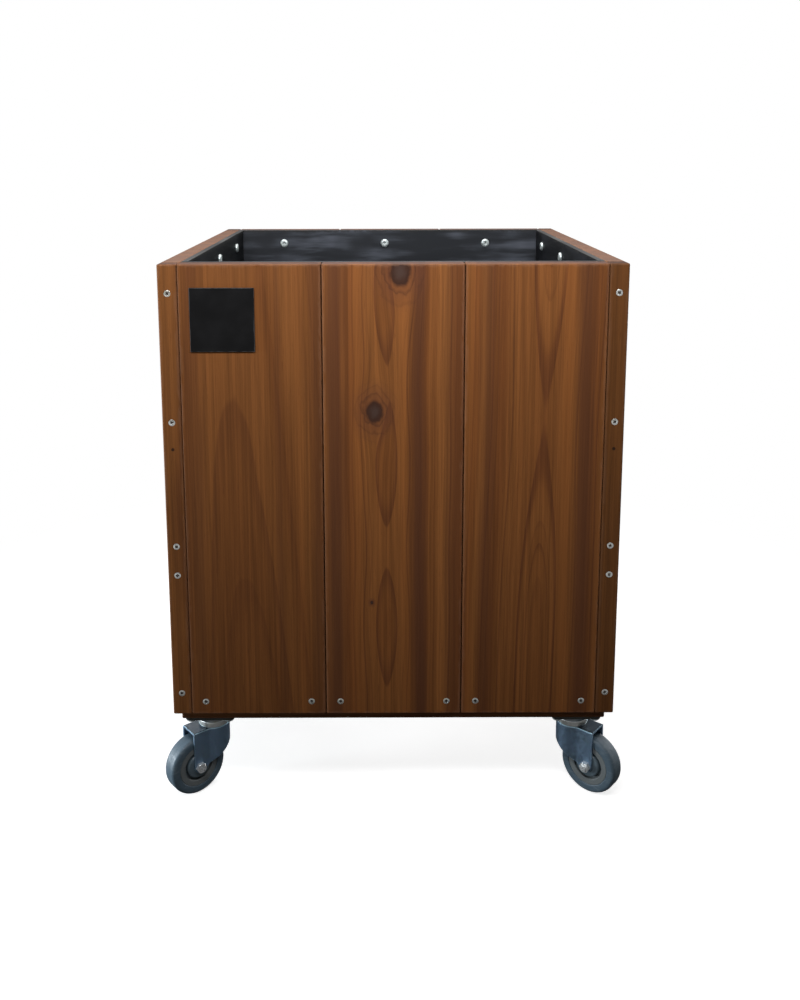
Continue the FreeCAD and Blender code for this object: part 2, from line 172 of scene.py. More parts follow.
grain.links.new(ease(grain, fibre, 0.2, 0.8, 0.62, 0.44), made["Roughness"])
grain.links.new(calc(grain, "MULTIPLY_ADD", late, 0.6, fibre), made["Height"])

# A streak is a band of darker or warmer heartwood that follows the length of a board.
streak, given, made = shader_group(
    "heartwood streak",
    {"Place": (0.0, 0.0, 0.0), "Across": 0.0, "Drift": 0.0, "Width": 0.01},
    {"Streak": "Float"},
)
across, through, along = put(streak, "ShaderNodeSeparateXYZ", {0: given["Place"]}).outputs
line = calc(streak, "MULTIPLY_ADD", given["Drift"], along, given["Across"])
astray = calc(streak, "SUBTRACT", cloud(streak, given["Place"], (9.0, 9.0, 5.0)), 0.5)
off = calc(streak, "MULTIPLY_ADD", astray, 0.010, calc(streak, "SUBTRACT", across, line))
frayed = calc(streak, "SUBTRACT", cloud(streak, given["Place"], (260.0, 260.0, 5.0), 3.0), 0.5)
off = calc(streak, "DIVIDE", calc(streak, "ABSOLUTE", off), given["Width"])
off = calc(streak, "MULTIPLY_ADD", frayed, 0.8, off)
streak.links.new(ease(streak, off, 0.1, 1.0, 1.0, 0.0), made["Streak"])

# A knot pushes the fibres aside: it hands on the bent place and says where its heart and rim lie.
knot, given, made = shader_group(
    "cedar knot",
    {"Place": (0.0, 0.0, 0.0), "Across": 0.0, "Along": 0.0, "Radius": 0.008},
    {"Place": "Vector", "Heart": "Float", "Rim": "Float", "Eddy": "Float", "Flush": "Float"},
)
across, through, along = put(knot, "ShaderNodeSeparateXYZ", {0: given["Place"]}).outputs
beside = calc(knot, "SUBTRACT", across, given["Across"])
above = calc(knot, "SUBTRACT", along, given["Along"])
upright = calc(knot, "DIVIDE", above, 1.35)
squares = calc(knot, "MULTIPLY_ADD", beside, beside, calc(knot, "MULTIPLY", upright, upright))
reach = calc(knot, "SQRT", squares)
ragged = calc(knot, "SUBTRACT", cloud(knot, given["Place"], (210.0, 210.0, 160.0), 3.0), 0.5)
near = calc(knot, "MULTIPLY_ADD", ragged, 0.45, calc(knot, "DIVIDE", reach, given["Radius"]))
stretch = calc(knot, "DIVIDE", above, 3.2)
span = calc(knot, "MULTIPLY_ADD", beside, beside, calc(knot, "MULTIPLY", stretch, stretch))
fall = calc(knot, "DIVIDE", span, calc(knot, "MULTIPLY", given["Radius"], given["Radius"]))
pull = calc(knot, "EXPONENT", calc(knot, "MULTIPLY", fall, -0.45))
bent = calc(knot, "MULTIPLY_ADD", calc(knot, "MULTIPLY", beside, pull), -0.9, across)
bent_place = put(knot, "ShaderNodeCombineXYZ", {0: bent, 1: through, 2: along}).outputs[0]
knot.links.new(bent_place, made["Place"])
knot.links.new(ease(knot, near, 0.15, 0.80, 1.0, 0.0), made["Heart"])
knot.links.new(ease(knot, near, 0.78, 1.22, 1.0, 0.0), made["Rim"])
loose = calc(knot, "SUBTRACT", cloud(knot, given["Place"], (70.0, 70.0, 45.0)), 0.5)
swirl = calc(knot, "FRACT", calc(knot, "MULTIPLY_ADD", near, 1.3, calc(knot, "MULTIPLY", loose, 2.2)))
swirl = calc(knot, "MULTIPLY", ease(knot, swirl, 0.50, 0.85), ease(knot, swirl, 0.86, 1.0, 1.0, 0.0))
knot.links.new(calc(knot, "MULTIPLY", swirl, ease(knot, near, 1.0, 3.2, 1.0, 0.0)), made["Eddy"])
knot.links.new(ease(knot, near, 0.9, 3.4, 1.0, 0.0), made["Flush"])

# Edges of a squared piece catch wear: of the three distances to its faces the middle one is to an edge.
edges, given, made = shader_group(
    "worn edges",
    {"Place": (0.0, 0.0, 0.0), "Half Size": (0.1, 0.1, 0.1), "Width": 0.003},
    {"Edge": "Float"},
)
inward = put(edges, "ShaderNodeVectorMath", {0: given["Place"]}, operation="ABSOLUTE").outputs[0]
sides = {0: given["Half Size"], 1: inward}
inward = put(edges, "ShaderNodeVectorMath", sides, operation="SUBTRACT").outputs[0]
first, second, third = put(edges, "ShaderNodeSeparateXYZ", {0: inward}).outputs
least = calc(edges, "MINIMUM", first, second)
most = calc(edges, "MAXIMUM", first, second)
to_edge = calc(edges, "MAXIMUM", least, calc(edges, "MINIMUM", most, third))
chance = cloud(edges, given["Place"], (170.0, 170.0, 60.0), 3.0)
worn_width = calc(edges, "MULTIPLY", given["Width"], ease(edges, chance, 0.3, 0.7, 0.35, 1.35))
edges.links.new(ease(edges, calc(edges, "DIVIDE", to_edge, worn_width), 0.25, 1.0, 1.0, 0.0), made["Edge"])

knot_heart = (0.062, 0.036, 0.028, 1.0)
knot_rim = (0.030, 0.014, 0.010, 1.0)
knot_flush = (0.120, 0.042, 0.022, 1.0)
pilot_hole_painted_shade = (0.020, 0.010, 0.006, 1.0)


def new_material(name):
    """Material with only its output: the tree and the output's surface socket."""
    material = bpy.data.materials.new(name)
    material.use_nodes = True
    tree = material.node_tree
    tree.nodes.clear()
    return material, tree, tree.nodes.new("ShaderNodeOutputMaterial").inputs["Surface"]


def cedar(name, node, turn, growth, knots=(), streaks=(), bores=(), shade=1.0, end_tone_and_light=end_cedar):
    """Oiled cedar for one board, in the board's own axes: x across, y through, z along the grain."""
    material, tree, surface = new_material(name)
    low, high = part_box(node)
    axes = turn.to_matrix()
    half = Vector(map(abs, axes.transposed() @ ((high - low) / 2)))
    coordinates = put(tree, "ShaderNodeTexCoord").outputs
    own = {"Vector": coordinates["Object"], "Location": (low + high) / 2, "Rotation": turn}
    place = put(tree, "ShaderNodeMapping", own, vector_type="TEXTURE").outputs[0]
    bent = place
    marks = []
    for x, z, radius in knots:
        values = {"Place": bent, "Across": x, "Along": z, "Radius": radius}
        marks.append(put(tree, "ShaderNodeGroup", values, node_tree=knot).outputs)
        bent = marks[-1]["Place"]
    rings = put(tree, "ShaderNodeGroup", {"Place": bent, **growth}, node_tree=grain).outputs
    colour = rings["Color"]
    for x, drift, width, stain, share in streaks:
        values = {"Place": bent, "Across": x, "Drift": drift, "Width": width}
        shown = put(tree, "ShaderNodeGroup", values, node_tree=streak).outputs[0]
        colour = tint(tree, calc(tree, "MULTIPLY", shown, share), colour, stain)
    for mark in marks:
        colour = tint(tree, calc(tree, "MULTIPLY", mark["Flush"], 0.50), colour, knot_flush)
        colour = tint(tree, calc(tree, "MULTIPLY", mark["Eddy"], 0.40), colour, knot_rim)
        colour = tint(tree, calc(tree, "MULTIPLY", mark["Rim"], 0.90), colour, knot_rim)
        colour = tint(tree, calc(tree, "MULTIPLY", mark["Heart"], 0.90), colour, knot_heart)
    # Painted shade: each pilot hole is darkened as a spot on the face.
    for x, z, radius in bores:
        spot = put(tree, "ShaderNodeVectorMath", {0: place, 1: (x, -half.y, z)}, operation="DISTANCE")
        pilot_hole_shade = ease(tree, spot.outputs["Value"], radius, 1.8 * radius, 0.9, 0.0)
        colour = tint(tree, pilot_hole_shade, colour, pilot_hole_painted_shade)
    lengthwise = {0: coordinates["Normal"], 1: axes.col[2]}
    facing = put(tree, "ShaderNodeVectorMath", lengthwise, operation="DOT_PRODUCT")
    end = ease(tree, calc(tree, "ABSOLUTE", facing.outputs["Value"]), 0.75, 0.98)
    # End grain takes its own colour; on the side walls it carries painted light.
    colour = tint(tree, calc(tree, "MULTIPLY", end, 0.6), colour, end_tone_and_light)
    rub = put(tree, "ShaderNodeGroup", {"Place": place, "Half Size": half, "Width": 0.0035}, node_tree=edges)
    colour = tint(tree, calc(tree, "MULTIPLY", rub.outputs["Edge"], 0.22), colour, worn_cedar)
    colour = tint(tree, 1.0, colour, (shade, shade, shade, 1.0), "MULTIPLY")
    bump = put(tree, "ShaderNodeBump", {"Strength": 0.30, "Distance": 0.0005, "Height": rings["Height"]})
    finish = {
        "Base Color": colour,
        "Roughness": calc(tree, "MULTIPLY_ADD", end, 0.30, rings["Roughness"]),
        "Normal": bump.outputs[0],
        "Specular IOR Level": 0.12,
    }
    tree.links.new(put(tree, "ShaderNodeBsdfPrincipled", finish).outputs[0], surface)
    return material


def dress(node, material):
    """Gives a piece of the frame its finish."""
    nodes[node].data.materials.clear()
    nodes[node].data.materials.append(material)


luck = random.Random(5)


def any_growth():
    """Growth of a board that isn't seen in the photograph."""
    return {
        "Pith Offset": luck.uniform(-0.03, 0.03),
        "Pith Depth": luck.uniform(0.028, 0.06),
        "Lean": luck.uniform(-0.06, 0.06),
        "Drift": luck.uniform(-0.06, 0.06),
        "Waver": luck.uniform(0.001, 0.004),
        "Waver Place": luck.uniform(-0.2, 0.2),
        "Waver Length": luck.uniform(0.25, 0.7),
        "Seed": luck.uniform(0.0, 90.0),
    }


def any_streaks():
    """A few streaks for a board that isn't seen in the photograph."""
    kinds = ((plum_cedar, 0.8), (amber_cedar, 0.55), (plum_cedar, 0.45))
    return [(luck.uniform(-0.065, 0.065), 0.0, luck.uniform(0.006, 0.016), *kind) for kind in kinds]


def any_knots():
    """A knot or two on every other board that isn't seen in the photograph."""
    count = luck.choice((0, 0, 1, 2))
    places = ((luck.uniform(-0.045, 0.045), luck.uniform(-0.2, 0.2)) for _ in range(count))
    return [(*place, luck.uniform(0.002, 0.009)) for place in places]


# A lying board has its width along Y, its thickness along Z and its length along X.
lying = Matrix(((0, 0, 1), (1, 0, 0), (0, 1, 0))).to_euler()
for index in (1, 2, 3):
    name = f"floor_board_{index}"
    dress(name, cedar(f"cedar {name}", name, lying, any_growth(), any_knots(), any_streaks()))

# Runners
# Two flat boards of the same timber cross the underside and carry the casters.
# They are screwed up into the floor boards and lie back from the front edge.
# They are coloured darker than the wall boards.
for name in ("front_runner", "back_runner"):
    dress(name, cedar(f"cedar {name}", name, lying, any_growth(), shade=0.60))

# Wall boards
# Twelve upright cedar boards, three to a wall, oiled a warm brown and eased at their edges.
# The front ones are flat sawn: arches on the left, two knots in the middle, a tongue on the right.
front_growth = (
    {"Pith Offset": -0.0155, "Pith Depth": 0.146, "Lean": 0.0212, "Drift": -0.037, "Waver": 0.0,
     "Wander": 0.0025, "Late": 0.36, "Seed": 12.86},
    {"Pith Offset": -0.007, "Pith Depth": 0.031, "Lean": 0.0, "Drift": 0.0, "Waver": 0.0016,
     "Waver Place": -0.053, "Waver Length": 0.17, "Wander": 0.0008, "Late": 0.62, "Seed": 10.24},
    {"Pith Offset": 0.0085, "Pith Depth": 0.0208, "Lean": 0.015, "Drift": 0.020, "Waver": 0.0075,
     "Waver Place": 0.069, "Waver Length": 0.50, "Wander": 0.001, "Late": 0.62, "Seed": 45.78},
)
front_streaks = (
    ((0.064, 0.0, 0.009, plum_cedar, 0.5), (0.046, 0.0, 0.007, amber_cedar, 0.15),
     (0.026, 0.0, 0.006, plum_cedar, 0.35), (-0.056, 0.0, 0.013, plum_cedar, 0.35)),
    ((-0.058, 0.0, 0.017, plum_cedar, 0.85), (0.025, -0.01, 0.012, plum_cedar, 0.9),
     (0.010, -0.01, 0.006, amber_cedar, 0.3), (-0.037, 0.0, 0.010, amber_cedar, 0.3),
     (0.060, 0.0, 0.016, plum_cedar, 0.4)),
    ((-0.046, 0.0, 0.012, plum_cedar, 0.55), (-0.062, 0.0, 0.006, amber_cedar, 0.3),
     (0.032, 0.0, 0.009, amber_cedar, 0.35), (0.050, 0.0, 0.013, plum_cedar, 0.75)),
)
front_knots = (
    (),
    ((-0.0186, 0.088, 0.0085), (0.0065, 0.227, 0.0105), (-0.022, -0.112, 0.0015)),
    (),
)
front_shade = (0.87, 1.04, 0.98)
walls = ("front", "right", "back", "left")
for wall, wall_name in enumerate(walls):
    turn = Matrix.Rotation(wall * math.pi / 2, 3, "Z").to_euler()
    for index in range(3):
        name = f"{wall_name}_board_{index + 1}"
        if wall_name == "front":
            looks = (front_growth[index], front_knots[index], front_streaks[index])
            shade = front_shade[index]
        else:
            looks, shade = (any_growth(), any_knots(), any_streaks()), 1.0
        # The side walls' top ends get a paler colour as painted light.
        end_tone_and_light = side_end_painted_light if wall_name in ("left", "right") else end_cedar
        dress(name, cedar(f"cedar {name}", name, turn, *looks, shade=shade, end_tone_and_light=end_tone_and_light))

# Corner strips
# Four square cedar strips close the corners, as thick as the boards and straight in the grain.
# Each is screwed to the side boards. The front two keep an empty pilot hole, drawn as a dark spot of painted
# shade.
pilot_hole = 0.0012
strip_shade = {"front_left": 0.80, "front_right": 0.52, "back_left": 0.62, "back_right": 0.75}
for site in ("front_left", "front_right", "back_left", "back_right"):
    name = f"{site}_corner_strip"
    straight = {**any_growth(), "Pith Depth": 0.11, "Lean": 0.002, "Drift": 0.004, "Waver": 0.0004}
    pilots = [(0.0, 0.050, pilot_hole)] if site.startswith("front") else []
    upright = Matrix.Identity(3).to_euler()
    dress(name, cedar(f"cedar {name}", name, upright, straight, bores=pilots, shade=strip_shade[site]))

# Countersunk screws
# Zinc plated wood screws with a square drive hold the walls to the floor and the strips to the walls.
# Their flat heads lie flush, each turned as it was driven.


def separate(node):
    """Point lists of the separate solids in one piece of the frame."""
    mesh = bmesh.new()
    mesh.from_mesh(nodes[node].data)
    bmesh.ops.remove_doubles(mesh, verts=mesh.verts, dist=1e-7)
    done = set()
    groups = []
    for start in mesh.verts:
        if start in done:
            continue
        done.add(start)
        reached = [start]
        points = []
        while reached:
            corner = reached.pop()
            points.append(corner.co.copy())
            joined = [edge.other_vert(corner) for edge in corner.link_edges]
            fresh = [other for other in joined if other not in done]
            done.update(fresh)
            reached.extend(fresh)
        groups.append(points)
    mesh.free()
    return groups


def screw_place(points):
    """Middle of a screw's head and the way it faces, from its points: the head is the wide end."""
    low = Vector(min(p[axis] for p in points) for axis in range(3))
    high = Vector(max(p[axis] for p in points) for axis in range(3))
    length = max(range(3), key=lambda axis: high[axis] - low[axis])
    middle = (low + high) / 2
    share = 0.02 * (high[length] - low[length])
    wide = {}
    for end in (low, high):
        rim = [p for p in points if abs(p[length] - end[length]) < share]
        wide[end[length]] = max((p - middle).length_squared - (p[length] - middle[length]) ** 2 for p in rim)
    head = max(wide, key=wide.get)
    point = middle.copy()
    point[length] = head
    facing = Vector((0.0, 0.0, 0.0))
    facing[length] = math.copysign(1.0, head - middle[length])
    return point, facing


def turned_mesh(name, rings, steps):
    """Mesh turned about Z. A ring is (radius, height), and a radius may be a function of the angle."""
    shape = bmesh.new()
    loops = []
    for radius, height in rings:
        if radius == 0:
            loops.append([shape.verts.new((0.0, 0.0, height))])
            continue
        loop = []
        for step in range(steps):
            angle = math.tau * step / steps
            reach = radius(angle) if callable(radius) else radius
            loop.append(shape.verts.new((reach * math.cos(angle), reach * math.sin(angle), height)))
        loops.append(loop)
    for one, two in zip(loops, loops[1:]):
        for step in range(steps):
            after = (step + 1) % steps
            corners = [one[step % len(one)], one[after % len(one)]]
            corners += [two[after % len(two)], two[step % len(two)]]
            face = shape.faces.new(list(dict.fromkeys(corners)))
            face.smooth = True
    bmesh.ops.recalc_face_normals(shape, faces=shape.faces)
    mesh = bpy.data.meshes.new(name)
    shape.to_mesh(mesh)
    shape.free()
    return mesh


def square(width):
    """Radius of a square of that width at each angle."""
    return lambda angle: width / 2 / max(abs(math.cos(angle)), abs(math.sin(angle)))


def sharpen(mesh, angle):
    """Keeps edges steeper than an angle crisp."""
    mesh.set_sharp_from_angle(angle=angle)


screw_tree = bpy.data.node_groups.new("screw set", "GeometryNodeTree")
screw_inputs = {}
for label, kind in (
    ("Places", "NodeSocketGeometry"),
    ("Screw", "NodeSocketObject"),
    ("Size", "NodeSocketFloat"),
    ("Seed", "NodeSocketInt"),
    ("Finish", "NodeSocketMaterial"),
):
    socket = screw_tree.interface.new_socket(label, in_out="INPUT", socket_type=kind)
    screw_inputs[label] = socket.identifier
screw_tree.interface.new_socket("Screws", in_out="OUTPUT", socket_type="NodeSocketGeometry")
given = screw_tree.nodes.new("NodeGroupInput").outputs
facing = put(
    screw_tree, "GeometryNodeInputNamedAttribute", {"Name": "facing"}, data_type="FLOAT_VECTOR"
).outputs["Attribute"]
aimed = put(screw_tree, "FunctionNodeAlignRotationToVector", {"Vector": facing}, axis="Z").outputs[0]
driven = put(
    screw_tree, "FunctionNodeRandomValue", {2: 0.0, 3: math.tau, "Seed": given["Seed"]}, data_type="FLOAT"
).outputs[1]
turning = {"Axis": (0.0, 0.0, 1.0), "Angle": driven}
spin = put(screw_tree, "FunctionNodeAxisAngleToRotation", turning).outputs[0]
rotation = put(
    screw_tree, "FunctionNodeRotateRotation", {"Rotation": aimed, "Rotate By": spin}, rotation_space="LOCAL"
).outputs[0]
pattern = put(screw_tree, "GeometryNodeObjectInfo", {"Object": given["Screw"]}).outputs["Geometry"]
placed = put(
    screw_tree,
    "GeometryNodeInstanceOnPoints",
    {"Points": given["Places"], "Instance": pattern, "Rotation": rotation, "Scale": given["Size"]},
).outputs[0]
whole = put(screw_tree, "GeometryNodeRealizeInstances", {"Geometry": placed}).outputs[0]
coated = {"Geometry": whole, "Material": given["Finish"]}
finished = put(screw_tree, "GeometryNodeSetMaterial", coated).outputs[0]
screw_tree.links.new(finished, screw_tree.nodes.new("NodeGroupOutput").inputs[0])

# Zinc plate is cloudy, with a faint crystal pattern and a straw tinge where it was passivated.
plating, given, made = shader_group(
    "zinc plating",
    {"Place": (0.0, 0.0, 0.0), "Metal": (0.5, 0.53, 0.56, 1.0), "Straw": 0.3},
    {"Color": "Color", "Roughness": "Float", "Height": "Float"},
)
haze = cloud(plating, given["Place"], (260.0, 260.0, 260.0), 3.0)
stain = cloud(plating, given["Place"], (55.0, 55.0, 55.0), 2.0)
crystal = put(plating, "ShaderNodeTexVoronoi", {"Vector": given["Place"], "Scale": 750.0}).outputs["Color"]
metal = tint(plating, 1.0, given["Metal"], ease(plating, haze, 0.25, 0.75, 0.92, 1.06), "MULTIPLY")
metal = tint(plating, 0.05, metal, crystal, "SOFT_LIGHT")
straw = tint(plating, 1.0, metal, (1.0, 0.86, 0.52, 1.0), "MULTIPLY")
shown = calc(plating, "MULTIPLY", ease(plating, stain, 0.48, 0.68), given["Straw"])
plating.links.new(tint(plating, shown, metal, straw), made["Color"])
plating.links.new(ease(plating, haze, 0.2, 0.8, 0.26, 0.46), made["Roughness"])
plating.links.new(haze, made["Height"])

seam = 0.0003
upper_dull = 0.08


def zinc(name, metal, straw, rounding, dull=0.0, metallic=1.0, above=None, upper=None, pressed=False):
    """Zinc plated steel with rubbed bright edges and painted shade in its recesses. Above a height it can be
    another metal.

    A pressing has a painted highlight along its bends and painted shade on its upper side.
    """
    material, tree, surface = new_material(name)
    coordinates = put(tree, "ShaderNodeTexCoord").outputs
    tone = metal
    if above is not None:
        height = put(tree, "ShaderNodeSeparateXYZ", {0: coordinates["Object"]}).outputs["Z"]
        tone = tint(tree, ease(tree, height, above, above + seam), metal, upper)
        dull = ease(tree, height, above, above + seam, dull, upper_dull)
    values = {"Place": coordinates["Object"], "Metal": tone, "Straw": straw}
    plate = put(tree, "ShaderNodeGroup", values, node_tree=plating).outputs
    soft = put(tree, "ShaderNodeBevel", {"Radius": rounding}, samples=4).outputs[0]
    true = put(tree, "ShaderNodeNewGeometry").outputs["True Normal"]
    level = put(tree, "ShaderNodeVectorMath", {0: soft, 1: true}, operation="DOT_PRODUCT").outputs["Value"]
    rubbed_and_highlit = ease(tree, level, 0.80, 0.985, 0.85, 0.0)
    # Painted shade: the marked drive recess is darkened.
    recess_shade = put(tree, "ShaderNodeAttribute", attribute_name="recess_shade").outputs["Fac"]
    colour = tint(tree, recess_shade, plate["Color"], (0.085, 0.066, 0.055, 1.0))
    if pressed:
        # A pressing gets a painted highlight along its bends, where the normal tilts from upright.
        upward = put(tree, "ShaderNodeSeparateXYZ", {0: coordinates["Normal"]}).outputs["Z"]
        tilted = ease(tree, upward, 0.25, 0.55)
        bend_highlight = calc(tree, "MULTIPLY", tilted, ease(tree, upward, 0.80, 0.97, 1.0, 0.0))
        rubbed_and_highlit = calc(tree, "MAXIMUM", rubbed_and_highlit, bend_highlight)
        # Painted shade: faces that point up are darkened.
        colour = tint(tree, 1.0, colour, ease(tree, upward, 0.93, 0.99, 1.0, 0.22), "MULTIPLY")
    # Rubbed edges, and the painted highlight on a pressing's bends, take this brighter metal.
    bright = tint(tree, 1.0, plate["Color"], (3.0, 2.9, 2.7, 1.0), "MULTIPLY")
    bright = tint(tree, 1.0, bright, (0.80, 0.84, 0.86, 1.0), "DARKEN")
    bump = {"Strength": 0.08, "Distance": 0.0003, "Height": plate["Height"], "Normal": soft}
    finish = {
        "Base Color": tint(tree, rubbed_and_highlit, colour, bright),
        "Roughness": calc(tree, "ADD", plate["Roughness"], dull),
        "Normal": put(tree, "ShaderNodeBump", bump).outputs[0],
        "Metallic": metallic,
    }
    tree.links.new(put(tree, "ShaderNodeBsdfPrincipled", finish).outputs[0], surface)
    return material


def mark_inside(mesh, label, reach, low, high, share=1.0):
    """Marks the points of a turned mesh within a reach of its axis and between two heights."""
    marks = mesh.attributes.new(label, "FLOAT", "POINT")
    for point in mesh.vertices:
        inside = math.hypot(point.co.x, point.co.y) < reach and low < point.co.z < high
        marks.data[point.index].value = share if inside else 0.0


def set_screws(node, mesh, seed, material):
    """Screws of one kind at the places of one group in the frame."""
    pattern = bpy.data.objects.new("pattern", mesh)
    bpy.context.scene.collection.objects.link(pattern)
    places = [screw_place(points) for points in separate(node)]
    cloud_of_places = bpy.data.meshes.new(node)
    cloud_of_places.from_pydata([point for point, _ in places], [], [])
    ways = cloud_of_places.attributes.new("facing", "FLOAT_VECTOR", "POINT")
    ways.data.foreach_set("vector", [number for _, way in places for number in way])
    screws = bpy.data.objects.new(f"{node}_set", cloud_of_places)
    bpy.context.scene.collection.objects.link(screws)
    modifier = screws.modifiers.new("screws", "NODES")
    modifier.node_group = screw_tree
    modifier[screw_inputs["Screw"]] = pattern
    modifier[screw_inputs["Size"]] = 1.0
    modifier[screw_inputs["Seed"]] = seed
    modifier[screw_inputs["Finish"]] = material
    evaluated = screws.evaluated_get(bpy.context.evaluated_depsgraph_get())
    screws.data = bpy.data.meshes.new_from_object(evaluated)
    screws.modifiers.clear()
    bpy.data.objects.remove(pattern)
    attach(screws, "planter")
    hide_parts(node)


tip_length = 0.005
drive_reach, drive_low, drive_high = 0.0024, -0.0024, -0.0001


def countersunk(length):
    """Countersunk screw with its face at the origin and its tip below."""
    head, shank, drive = 0.0034, 0.0018, 0.0027
    rings = [
        (0, -0.0018),
        (square(0.86 * drive), -0.0017),
        (square(drive), -0.0002),
        (square(1.10 * drive), 0.0),
        (head - 0.0003, 0.0),
        (head, -0.0002),
        (head, -0.0004),
        (shank, -0.0026),
        (shank, tip_length - length),
        (0, -length),
    ]
    mesh = turned_mesh("countersunk screw", rings, 32)
    sharpen(mesh, math.radians(35))
    # The drive recess is marked for painted shade.
    mark_inside(mesh, "recess_shade", drive_reach, drive_low, drive_high)
    return mesh


bright_zinc = zinc("bright zinc", (0.45, 0.46, 0.44, 1.0), 0.25, 0.0002, metallic=0.6)
long_screw, runner_screw = 0.038, 0.034
set_screws("foot_screws", countersunk(long_screw), 3, bright_zinc)
set_screws("strip_screws", countersunk(long_screw), 8, bright_zinc)
set_screws("runner_screws", countersunk(runner_screw), 13, bright_zinc)

# Lining panels
# Five sheets of black polyethylene line the walls and the floor, cut flush with the rim.
# The skin is satin with long handling smears, the sawn edges are greyer and dull, and every sheet carries
# painted light and shade.
lining_black = (0.0200, 0.0220, 0.0255, 1.0)
lining_smear = (0.078, 0.087, 0.106, 1.0)
lining_sawn = (0.036, 0.036, 0.035, 1.0)


def lining(name, node, flow, shade):
    """Satin black sheet smeared along its flow and sawn at its edges, with its brightness scaled by painted
    light and shade and painted shade darkening it below the rim.
    """
    material, tree, surface = new_material(name)
    low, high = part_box(node)
    coordinates = put(tree, "ShaderNodeTexCoord").outputs
    place = put(
        tree, "ShaderNodeMapping", {"Vector": coordinates["Object"], "Location": (low + high) / 2},
        vector_type="TEXTURE",
    ).outputs[0]
    smear = cloud(tree, place, flow, 4.0)
    patch = cloud(tree, place, (14.0, 14.0, 20.0), 2.0)
    mark = calc(tree, "MULTIPLY", ease(tree, smear, 0.40, 0.7), ease(tree, patch, 0.35, 0.65))
    height = put(tree, "ShaderNodeSeparateXYZ", {0: coordinates["Object"]}).outputs["Z"]
    depth = calc(tree, "SUBTRACT", high.z, height)
    colour = tint(tree, mark, lining_black, lining_smear)
    # Painted light and shade: the panel's brightness is scaled by its own factor, and painted shade darkens
    # it downward from the rim.
    colour = tint(tree, 1.0, colour, ease(tree, depth, 0.02, 0.09, shade, 0.4 * shade), "MULTIPLY")
    rub = put(
        tree, "ShaderNodeGroup", {"Place": place, "Half Size": (high - low) / 2, "Width": 0.0042},
        node_tree=edges,
    )
    colour = tint(tree, calc(tree, "MULTIPLY", rub.outputs["Edge"], 0.7), colour, lining_sawn)
    pebble = cloud(tree, place, (900.0, 900.0, 900.0), 2.0)
    bump = put(tree, "ShaderNodeBump", {"Strength": 0.10, "Distance": 0.0003, "Height": pebble})
    finish = {
        "Base Color": colour,
        "Roughness": ease(tree, smear, 0.3, 0.7, 0.38, 0.56),
        "Normal": bump.outputs[0],
        "Specular IOR Level": 0.08,
    }
    tree.links.new(put(tree, "ShaderNodeBsdfPrincipled", finish).outputs[0], surface)
    return material


lining_flow = (9.0, 9.0, 70.0)
# Painted light and shade per panel: the back is brightened, the sides are darkened.
lining_light_and_shade = {"front": 0.9, "right": 0.45, "back": 1.4, "left": 0.3, "floor": 0.9}
for panel, shade in lining_light_and_shade.items():
    dress(f"{panel}_liner", lining(f"{panel} lining", f"{panel}_liner", lining_flow, shade))

# Pan head screws
# Zinc screws with low rounded heads and a cross drive hold the lining, one near the top of each board.
# The same kind goes up through the corners of the caster plates.


def cross(width, span):
    """Radius of a cross of two bars at each angle."""

    def reach(angle):
        c, s = max(abs(math.cos(angle)), 1e-6), max(abs(math.sin(angle)), 1e-6)
        return max(min(span / 2 / c, width / 2 / s), min(span / 2 / s, width / 2 / c))

    return reach


def pan_headed(length):
    """Pan head screw with the top of its head at the origin and its tip below."""
    head, height, shank = 0.0056, 0.0028, 0.0018
    crown = [(0.0030, 0.0), (0.0039, -0.0001), (0.0047, -0.0004), (0.0052, -0.0009), (0.0055, -0.0015)]
    rings = [
        (0, -0.0017),
        (cross(0.0007, 0.0030), -0.0016),
        (cross(0.0011, 0.0044), -0.0002),
        *crown,
        (head, -height),
        (shank, -height),
        (shank, tip_length - length),
        (0, -length),
    ]
    mesh = turned_mesh("pan head screw", rings, 48)
    sharpen(mesh, math.radians(38))
    # The cross recess is marked for painted shade, at a lower share.
    mark_inside(mesh, "recess_shade", drive_reach, drive_low, drive_high, 0.4)
    return mesh


pan_zinc = zinc("pan head zinc", (0.62, 0.70, 0.70, 1.0), 0.1, 0.0002, metallic=0.5)
lining_screw, caster_screw = 0.0228, 0.0233
set_screws("liner_screws", pan_headed(lining_screw), 21, pan_zinc)
set_screws("caster_screws", pan_headed(caster_screw), 34, pan_zinc)

# Name plate
# A small square plate of black anodised sheet sits near the top of the left front board.
# It is bare, satin and lightly brushed, with a thin bright line of painted highlight along its cut edges.
plate_material, tree, surface = new_material("black plate")
plate_low, plate_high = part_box("name_plate")
place = put(
    tree, "ShaderNodeMapping",
    {"Vector": put(tree, "ShaderNodeTexCoord").outputs["Object"], "Location": (plate_low + plate_high) / 2},
    vector_type="TEXTURE",
).outputs[0]
brushed = cloud(tree, place, (30.0, 400.0, 2600.0), 3.0)
smudge = cloud(tree, place, (45.0, 45.0, 45.0), 3.0)
rub = put(
    tree, "ShaderNodeGroup",
    {"Place": place, "Half Size": (plate_high - plate_low) / 2, "Width": 0.0009}, node_tree=edges,
)
plate_black, plate_smudge = (0.0042, 0.0042, 0.0045, 1.0), (0.0075, 0.0075, 0.0080, 1.0)
colour = tint(tree, ease(tree, smudge, 0.35, 0.75), plate_black, plate_smudge)
